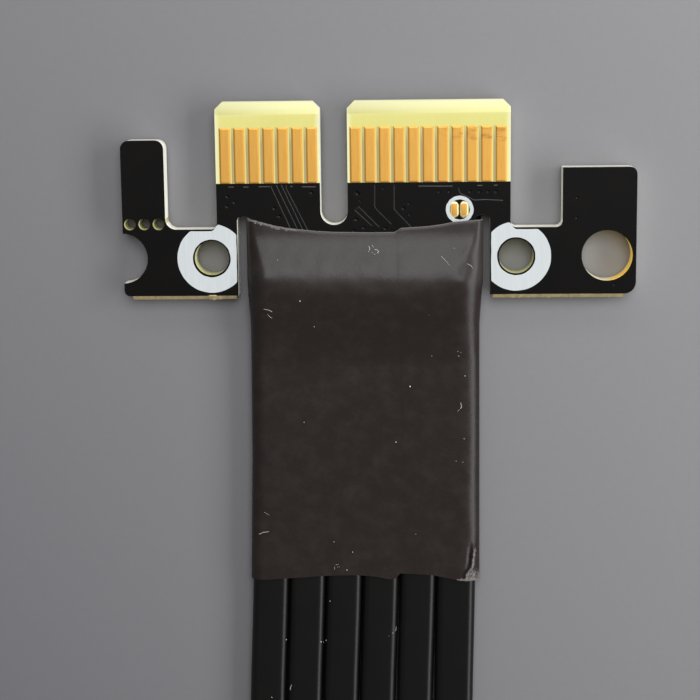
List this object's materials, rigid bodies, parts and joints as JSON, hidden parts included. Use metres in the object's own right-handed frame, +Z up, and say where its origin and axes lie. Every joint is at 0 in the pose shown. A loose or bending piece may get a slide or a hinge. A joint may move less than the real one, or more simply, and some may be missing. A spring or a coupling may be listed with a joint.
{
  "type": "flexible pcie x1 riser card",
  "caption": "Flexible riser card: a small black plug board with a gold card edge, joined by flat parallel cables in shrink sleeves to a small board with a card socket.",
  "frame": {"origin": "under the middle of the plug end (plug board with its sleeve), on the surface that the sleeves rest on", "axes": "+Y out of the card edge, +Z up through the board's front face, +X along the card edge towards its long tab"},
  "size_m": [0.0356, 0.1522, 0.0129],
  "materials": {
    "solder_mask": "black solder mask over laminate, satin",
    "gold_plating": "gold-plated copper",
    "screen_print": "white screen print",
    "shrink_tube": "dark grey shrink tube, satin",
    "cable_jacket": "black cable jacket, soft gloss",
    "core_foil": "foil-wrapped cable cores",
    "tinned_copper": "tinned wire and solder",
    "socket_plastic": "black moulded plastic, semi-matte"
  },
  "bodies": {
    "root": {"circuit_board": "solder_mask", "contacts_front_long_tab": "gold_plating", "contacts_front_short_tab": "gold_plating", "contacts_back_long_tab": "gold_plating", "contacts_back_short_tab": "gold_plating", "test_pads": "gold_plating", "printed_rings": "screen_print", "plug_wire_pads": "gold_plating", "plug_soldered_wire_ends": "tinned_copper", "plug_cable_cores": "core_foil", "plug_drain_wires": "tinned_copper", "plug_shrink_sleeve": "shrink_tube", "flat_cable_1": "cable_jacket", "flat_cable_2": "cable_jacket", "flat_cable_3": "cable_jacket", "flat_cable_4": "cable_jacket", "flat_cable_5": "cable_jacket", "flat_cable_6": "cable_jacket", "socket_board": "solder_mask", "socket_pads": "gold_plating", "socket_housing": "socket_plastic", "socket_contacts_row_a": "gold_plating", "socket_contacts_row_b": "gold_plating", "socket_wire_pads": "gold_plating", "socket_soldered_wire_ends": "tinned_copper", "socket_cable_cores": "core_foil", "socket_drain_wires": "tinned_copper", "socket_shrink_sleeve": "shrink_tube"}
  },
  "joints": []
}
